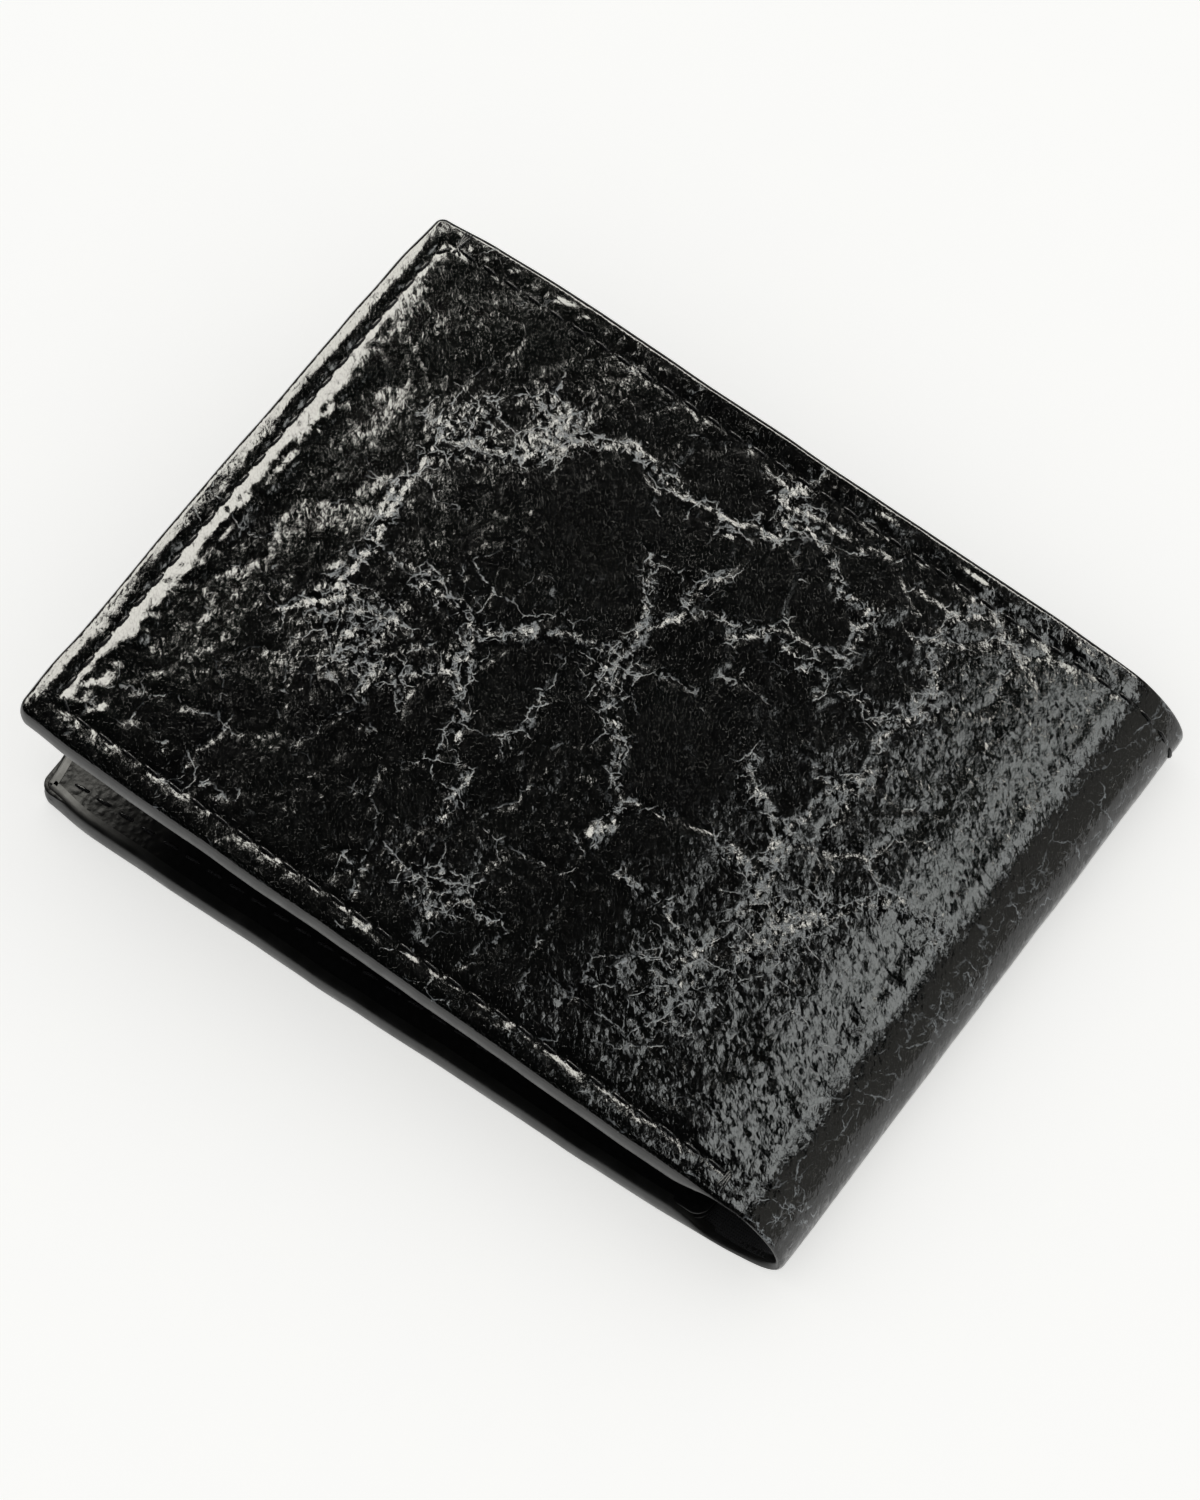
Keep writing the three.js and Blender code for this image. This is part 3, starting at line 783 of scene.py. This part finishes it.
# ---- Pieces ----------------------------------------------------------------
def cover_outline(s, y, out_s, out_y):
    """How far the trimmed edge lies outside its drawn line; out_s and out_y point away from the face.

    Hand trimming leaves the edge bowed and uneven, and use rounds the free corners.
    """
    uneven = 0.2 * rough_waves(s, y, 16, 71, 3)
    front = s > fold.length / 2
    middle = smooth((fold.from_fold(s) + 4) / 16) * smooth((fold.from_free_edge(s) + 2) / 26)
    mouth = np.where(front, 0.55, 0.2) * middle * np.clip(out_y, 0, 1)
    bottom = np.where(front, 0.15, 0.65) * middle * np.clip(-out_y, 0, 1)
    corner = smooth((9 - fold.from_free_edge(s)) / 9) * smooth((9 - HALF + np.abs(y)) / 9)
    worn = np.where(front, np.where(y < 0, 0.45, 0.9), np.where(y < 0, 1.1, 0.5))
    bow = 0.35 * (1 - (y / HALF) ** 2) * np.where(out_s * np.sign(s) > 0, np.abs(out_s), 0)
    return uneven + mouth + bottom - worn * corner - 0.3 * bow


def half_span(half, near, far):
    """Ends on the hide of a stretch of one half, from distances off the fold."""
    if half == FRONT:
        return fold.length + near, fold.length + far
    return -far, -near


def span_to_split(half, reach):
    """Ends on the hide of a ply that runs from a half into the fold, where the two halves' plies meet."""
    return (fold.split, fold.length + reach) if half == FRONT else (-reach, fold.split)


def reach_of(half):
    return FRONT_REACH if half == FRONT else BACK_REACH


def make_cover(half):
    step = mm("leather_step") if half == FRONT else BACK_LEATHER_STEP
    panel = Panel(
        span_to_split(half, reach_of(half)),
        (-HALF, HALF),
        (step, step),
        mm("corner_radius"),
        COVER_EDGE,
        stack_depth,
        fold_end=half,
        outline=cover_outline,
    )
    crackle, relief = hide_relief(panel.s, panel.y)
    side = "front" if half == FRONT else "back"
    piece = panel_piece(
        f"{side}_cover_leather",
        panel,
        panel.down - relief * panel.lift,
        False,
        [material("leather"), material("edge")],
        values={"crackle": crackle, "grain": grain_amount(panel.s, panel.y), "rolled": rolled(panel.s)},
    )
    smooth_open_end(piece, panel, relief, half)
    return piece


def smooth_open_end(piece, panel, relief, half):
    """The two covers meet in the fold with one shared normal, so no line shows between them."""
    mesh = piece.data
    row = 0 if half == FRONT else panel.shape[0] - 1
    ends = row * panel.shape[1] + np.arange(panel.shape[1])
    step = 0.25
    s, y = panel.s[row], panel.y[row]

    def surface(ds, dy):
        lift = hide_relief(s + ds, y + dy)[1] * panel.lift[row]
        return fold.place(s + ds, y + dy, panel.down[row] - lift)

    along = surface(step, 0) - surface(-step, 0)
    across = surface(0, step) - surface(0, -step)
    shared = np.cross(across, along)
    shared /= np.linalg.norm(shared, axis=1)[:, None]
    flat = np.empty(len(mesh.vertices) * 3, np.float32)
    mesh.vertex_normals.foreach_get("vector", flat)
    normals = flat.reshape(-1, 3)
    face = panel.q[row] == 0
    normals[ends[face]] = shared[face]
    mesh.normals_split_custom_set_from_vertices(normals)


class WALLET_OT_covers(bpy.types.Operator):
    """Front and back covers, which meet in the fold"""

    bl_idname = "wallet.covers"
    bl_label = "Covers"

    def execute(self, context):
        for half, side in ((BACK, "back"), (FRONT, "front")):
            piece = make_cover(half)
            ride_half(piece, half)
            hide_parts(f"{side}_cover")
            if half == FRONT:
                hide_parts("spine_cover")
        return {"FINISHED"}


CLOTH_CORNER, CLOTH_EDGE, CLOTH_PLY = 1.8, 0.12, 0.28
CARD_EDGE, CARD_PLY = 0.16, 0.42
SEWN_CORNER, LOOSE_CORNER = 1.9, 0.7  # a pocket's corners where it is sewn in and where it ends inside


class WALLET_OT_linings(bpy.types.Operator):
    """Cover linings and the wall of the note compartment"""

    bl_idname = "wallet.linings"
    bl_label = "Linings"

    def execute(self, context):
        for half, side in ((BACK, "back"), (FRONT, "front")):
            for name, stands_in_fold, face, inset, high in (
                ("cover_lining", "spine_lining", COVER_DEPTH, LINING_INSET, HALF - LINING_INSET),
                ("note_divider", "spine_divider", DIVIDER_FACE, DIVIDER_INSET, DIVIDER_TOP),
            ):
                low = -HALF + inset
                span = span_to_split(half, reach_of(half) - inset)
                rise, step = (low, high), (0.9, 0.9)
                panel = Panel(
                    span, rise, step, CLOTH_CORNER, CLOTH_EDGE, CLOTH_PLY, fold_end=half, lip=0.3
                )
                width, height = (span[1] - span[0]) * MM, (high - low) * MM
                area = width * height
                if name == "note_divider":
                    notch = smooth((GUTTER + 2.6 - fold.from_fold(panel.s)) / 4.2) * GUTTER_NOTCH
                    panel.y = panel.y + notch * (high - panel.y) / (high - low)
                    area -= GUTTER_NOTCH * (fold.length / 2 + 4) * MM * MM
                ripple = 0.05 * waves(panel.s, panel.y, 7, 51) * (panel.q == 0)
                depth = face - panel.down + ripple
                piece = panel_piece(f"{side}_{name}_cloth", panel, depth, True, [material("fabric")])
                ride_half(piece, half)
                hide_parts(f"{side}_{name}")
                if half == BACK:
                    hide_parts(stands_in_fold)
        return {"FINISHED"}


def turned_edge(panel, top):
    """A pocket's mouth is turned and creased: a soft bead with a pressed line under it."""
    below = top - panel.y
    bead = 0.14 * smooth(1 - below / 1.4)
    crease = -0.12 * hump(below - 2.1, 0.35)
    return (bead + crease) * (panel.q == 0)


class WALLET_OT_card_slots(bpy.types.Operator):
    """Card base and the three stepped card slots of each half"""

    bl_idname = "wallet.card_slots"
    bl_label = "Card Slots"

    def execute(self, context):
        for half, side in ((BACK, "back"), (FRONT, "front")):
            spans = {"card_base": (-HALF, BASE_TOP, BASE_FACE)}
            for name, (low, high) in SLOT_SPANS.items():
                spans[f"card_slot_{name}"] = (low, high, SLOT_FACES[name])
            for name, (low, high, face) in spans.items():
                sewn = low == -HALF
                low = low + CARD_INSET if sewn else low
                span = half_span(half, GUTTER, reach_of(half) - CARD_INSET)
                corner = SEWN_CORNER if sewn else LOOSE_CORNER
                panel = Panel(span, (low, high), (0.9, 0.55), corner, CARD_EDGE, CARD_PLY, lip=0.3)
                sway = 0.06 * waves(panel.s, panel.y, 22, 61) * (panel.q == 0)
                depth = face - panel.down + sway + turned_edge(panel, high)
                finishes = [material("pocket"), material("edge")]
                piece = panel_piece(f"{side}_{name}_leather", panel, depth, True, finishes)
                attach(piece, half)
                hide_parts(f"{side}_{name}")
        return {"FINISHED"}


# ---- Seams -----------------------------------------------------------------
def inner_face(s, y):
    """Depth of the innermost ply at a point of a half."""
    face = np.where(y < BASE_TOP, BASE_FACE, COVER_DEPTH)
    for name, (low, high) in SLOT_SPANS.items():
        face = np.where((y >= low) & (y <= high), np.maximum(face, SLOT_FACES[name]), face)
    return face


THREAD_SIDES = 8
THREAD_RINGS = 11
HOLE = 0.09  # share of a stitch's pitch that each end leaves free


def thread_points(start, end, depth_at, outward, width):
    """One stitch as a twisted two-ply thread that dives into a hole at each end."""
    start, end = np.array(start, float), np.array(end, float)
    t = np.linspace(0, 1, THREAD_RINGS)[:, None]
    ring = np.linspace(0, 2 * math.pi, THREAD_SIDES, endpoint=False)[None, :]
    along = end - start
    length = max(np.hypot(*along), 1e-6)
    across = np.array([-along[1], along[0]]) / length
    ends = np.abs(2 * t - 1)
    radius = width / 2 * (1 + 0.13 * np.cos(2 * (ring - 4.5 * math.pi * t))) * np.sqrt(1 - 0.75 * ends**6)
    middle = start + along * t
    s = middle[:, :1] + across[0] * radius * np.cos(ring)
    y = middle[:, 1:] + across[1] * radius * np.cos(ring)
    surface = depth_at(middle[:, 0], middle[:, 1])[:, None]
    height = 0.30 * width - 1.5 * width * ends**4 + radius * np.sin(ring)
    return s, y, surface - outward * height


def thread_piece(name, stitches, depth_at, outward, scale=1.0):
    """All stitches of a seam as one mesh; outward is 1 on the cover and -1 on the card side."""
    points, quads, uvs, count = [], [], [], 0
    width = mm("thread_width") * scale
    ring_quads = grid_quads(THREAD_RINGS, THREAD_SIDES, wrap=True)
    for start, end in stitches:
        s, y, depth = thread_points(start, end, depth_at, outward, width)
        points.append(fold.place(s, y, depth).reshape(-1, 3))
        uvs.append(np.stack([s, y], -1).reshape(-1, 2))
        quads.append(ring_quads + count)
        count += THREAD_RINGS * THREAD_SIDES
    points, quads, uvs = np.concatenate(points), np.concatenate(quads), np.concatenate(uvs)
    piece = new_mesh(name, points, quads, [material("thread")], uv=uvs)
    return piece


def stitch_line(path, slant=0.1):
    """Cuts a path of (s, y) points into slightly slanted stitches with a gap at each hole."""
    path = np.array(path, float)
    steps = np.hypot(*np.diff(path, axis=0).T)
    at = np.concatenate([[0], np.cumsum(steps)])
    count = max(1, int(round(at[-1] / mm("stitch_pitch"))))
    pitch = at[-1] / count
    stitches = []
    for i in range(count):
        holes = (i + HOLE) * pitch, (i + 1 - HOLE) * pitch
        start, end = [np.array([np.interp(h, at, path[:, 0]), np.interp(h, at, path[:, 1])]) for h in holes]
        way = (end - start) / max(np.hypot(*(end - start)), 1e-6)
        side = np.array([-way[1], way[0]]) * slant
        stitches.append((start - side, end + side))
    return stitches


def seam_on_hide(half):
    """The perimeter seam, from the fold along the bottom, up the free edge and back along the mouth."""
    off = mm("seam_offset")
    turn = mm("corner_radius") + 0.5
    edge = fold.front_edge if half == FRONT else -BACK_REACH
    sign = -1 if half == FRONT else 1
    line, corner = HALF - off, off + turn
    quarter = np.linspace(0, math.pi / 2, 20)
    stop = reach_of(half) - SEAM_END
    bottom = [(v, -line) for v in np.linspace(103, corner, 300) if v <= stop]
    low = [(corner - turn * math.sin(t), -line + turn - turn * math.cos(t)) for t in quarter[1:]]
    free = [(off, v) for v in np.linspace(-line + turn, line - turn, 240)[1:]]
    high = [(corner - turn * math.cos(t), line - turn + turn * math.sin(t)) for t in quarter[1:]]
    points = [(edge + sign * v, y) for v, y in bottom + low + free + high]
    return points + [(s, line) for s in np.linspace(points[-1][0], fold.split, 200)[1:]]


def outside_depth(s, y):
    """Depth of the cover's face with its relief, so the thread lies in its groove."""
    return -hide_relief(s, y)[1]


class WALLET_OT_seams(bpy.types.Operator):
    """Stitches of the perimeter seams, outside and in, and the bar tacks at their ends"""

    bl_idname = "wallet.seams"
    bl_label = "Seams"

    def execute(self, context):
        for half, side in ((BACK, "back"), (FRONT, "front")):
            seam = thread_piece(f"{side}_seam_stitches", stitch_line(seam_on_hide(half)), outside_depth, 1)
            ride_half(seam, half)
            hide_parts(f"{side}_seam_thread")
            if half == FRONT:
                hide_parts("spine_hem_thread")
            self.tacks(half, side)
            self.inner_seams(half, side)
        return {"FINISHED"}

    def tacks(self, half, side):
        off = mm("seam_offset")
        s_end = half_span(half, SEAM_END, 0)[0] if half == FRONT else -SEAM_END
        rows = [
            ((s_end + shift, -HALF + 0.55), (s_end + 0.3 * shift, -HALF + off + 0.5 + 0.3 * i))
            for i, shift in enumerate((-0.45, 0.0, 0.5))
        ]
        piece = thread_piece(f"{side}_seam_end_tack_stitches", rows, outside_depth, 1, 0.75)
        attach(piece, half)
        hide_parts(f"{side}_seam_end_tack")
        edge, inward = (fold.front_edge, -1) if half == FRONT else (-BACK_REACH, 1)
        s_tack = edge + inward * (mm("corner_radius") + off)
        rows = [
            ((s_tack + shift, HALF - 0.45), (s_tack - shift * 0.4, HALF - off - 1.3))
            for shift in (-0.5, 0.0, 0.5)
        ]
        rows.append(((s_tack - 1.1, HALF - off - 0.9), (s_tack + 0.9, HALF - off + 0.8)))
        piece = thread_piece(f"{side}_mouth_tack_stitches", rows, outside_depth, 1, 0.8)
        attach(piece, half)
        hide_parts(f"{side}_mouth_tack")

    def inner_seams(self, half, side):
        """The same seams on the card side, where they hold the pockets' three closed edges."""
        off = mm("seam_offset")
        span = half_span(half, GUTTER + 1.8, reach_of(half) - off)
        gutter, free = span if half == FRONT else reversed(span)
        low, high = -HALF + off, BASE_TOP - 2.5
        lines = (
            ((gutter, low), (free, low)),
            ((free, low + 1.7), (free, high)),
            ((gutter, low + 1.7), (gutter, high)),
        )
        stitches = [stitch for line in lines for stitch in stitch_line(line)]
        piece = thread_piece(f"{side}_inner_seam_stitches", stitches, inner_face, -1)
        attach(piece, half)


# ---- Stage -----------------------------------------------------------------
CAMERA_DISTANCE = 0.67764
CAMERA_LENS = 133.67
FLOOR_REACH = 1500.0
FLOOR_DROP = 0.02  # keeps the floor from flickering through the wallet's underside


class WALLET_OT_stage(bpy.types.Operator):
    """Camera, pale floor and soft lights"""

    bl_idname = "wallet.stage"
    bl_label = "Stage"

    def execute(self, context):
        self.camera()
        self.floor()
        self.lights()
        context.scene.view_settings.view_transform = "Standard"
        return {"FINISHED"}

    def camera(self):
        azimuth, elevation, roll = math.radians(35.42), math.radians(62.59), math.radians(0.18)
        level = math.cos(elevation)
        back = Vector((math.sin(azimuth) * level, -math.cos(azimuth) * level, math.sin(elevation)))
        right = Vector((0, 0, 1)).cross(back).normalized()
        up = back.cross(right)
        middle = Vector((FOLD_X - 49.77, -0.63, 6)) * MM
        place = middle + back * CAMERA_DISTANCE
        aim = middle + (right * 1.95 - up * 0.49) * MM
        data = bpy.data.cameras.new("camera")
        data.sensor_width = 36
        data.lens = CAMERA_LENS
        camera = bpy.data.objects.new("camera", data)
        camera.location = place
        facing = (aim - place).to_track_quat("-Z", "Y")
        camera.rotation_mode = "QUATERNION"
        camera.rotation_quaternion = facing @ Matrix.Rotation(roll, 3, "Z").to_quaternion()
        bpy.context.scene.collection.objects.link(camera)
        bpy.context.scene.camera = camera

    def floor(self):
        corners = ((-1, -1), (1, -1), (1, 1), (-1, 1))
        points = [(x * FLOOR_REACH, y * FLOOR_REACH, -FLOOR_DROP) for x, y in corners]
        new_mesh("floor", points, [(0, 1, 2, 3)], [material("floor")])

    def lights(self):
        world = bpy.data.worlds.new("studio")
        world.use_nodes = True
        background = world.node_tree.nodes["Background"]
        background.inputs["Color"].default_value = (1, 1, 1, 1)
        background.inputs["Strength"].default_value = 0.48
        bpy.context.scene.world = world
        world.cycles_visibility.glossy = False
        centre = Vector((0, 0, 0.01))
        warm, cool = (1.0, 0.98, 0.90), (0.96, 1.0, 0.98)
        # name, direction, distance, width, height, power, colour; the floor is lit by the sky alone
        boxes = (
            ("left_softbox", (-0.53, 0.37, 0.76), 0.8, 0.32, 0.42, 5.4, warm),
            ("rear_softbox", (-0.10, 0.68, 0.73), 0.8, 0.5, 0.16, 3.0, warm),
            ("right_softbox", (0.29, 0.38, 0.87), 0.8, 0.32, 0.26, 1.05, cool),
            ("right_wall", (1.0, 0.38, 0.36), 0.9, 1.3, 0.95, 1.5, warm),
        )
        for name, way, distance, width, height, power, tone in boxes:
            data = bpy.data.lights.new(name, "AREA")
            data.shape = "RECTANGLE"
            data.size, data.size_y = width, height
            data.energy = power
            data.color = tone
            light = bpy.data.objects.new(name, data)
            light.location = centre + Vector(way).normalized() * distance
            light.rotation_mode = "QUATERNION"
            light.rotation_quaternion = (centre - light.location).to_track_quat("-Z", "Y")
            light.visible_diffuse = False
            bpy.context.scene.collection.objects.link(light)


class WALLET_PT_panel(bpy.types.Panel):
    """Builds the wallet piece by piece"""

    bl_idname = "WALLET_PT_panel"
    bl_label = "Bifold Wallet"
    bl_space_type = "VIEW_3D"
    bl_region_type = "UI"
    bl_category = "Wallet"

    def draw(self, context):
        layout = self.layout
        for group in (context.scene.wallet_sizes, context.scene.wallet_colours):
            for name in group.__annotations__:
                layout.prop(group, name)
        for operator in OPERATORS:
            layout.operator(operator.bl_idname)


OPERATORS = (WALLET_OT_stage, WALLET_OT_covers, WALLET_OT_linings, WALLET_OT_card_slots, WALLET_OT_seams)
CLASSES = (WalletSizes, WalletColours, *OPERATORS, WALLET_PT_panel)


def register():
    for cls in CLASSES:
        bpy.utils.register_class(cls)
    bpy.types.Scene.wallet_sizes = bpy.props.PointerProperty(type=WalletSizes)
    bpy.types.Scene.wallet_colours = bpy.props.PointerProperty(type=WalletColours)


def unregister():
    del bpy.types.Scene.wallet_sizes
    del bpy.types.Scene.wallet_colours
    for cls in reversed(CLASSES):
        bpy.utils.unregister_class(cls)


def main():
    global fold
    register()
    fold = Fold()
    bpy.ops.wallet.stage()
    bpy.ops.wallet.covers()
    bpy.ops.wallet.linings()
    bpy.ops.wallet.card_slots()
    bpy.ops.wallet.seams()


if __name__ == "__main__":
    main()
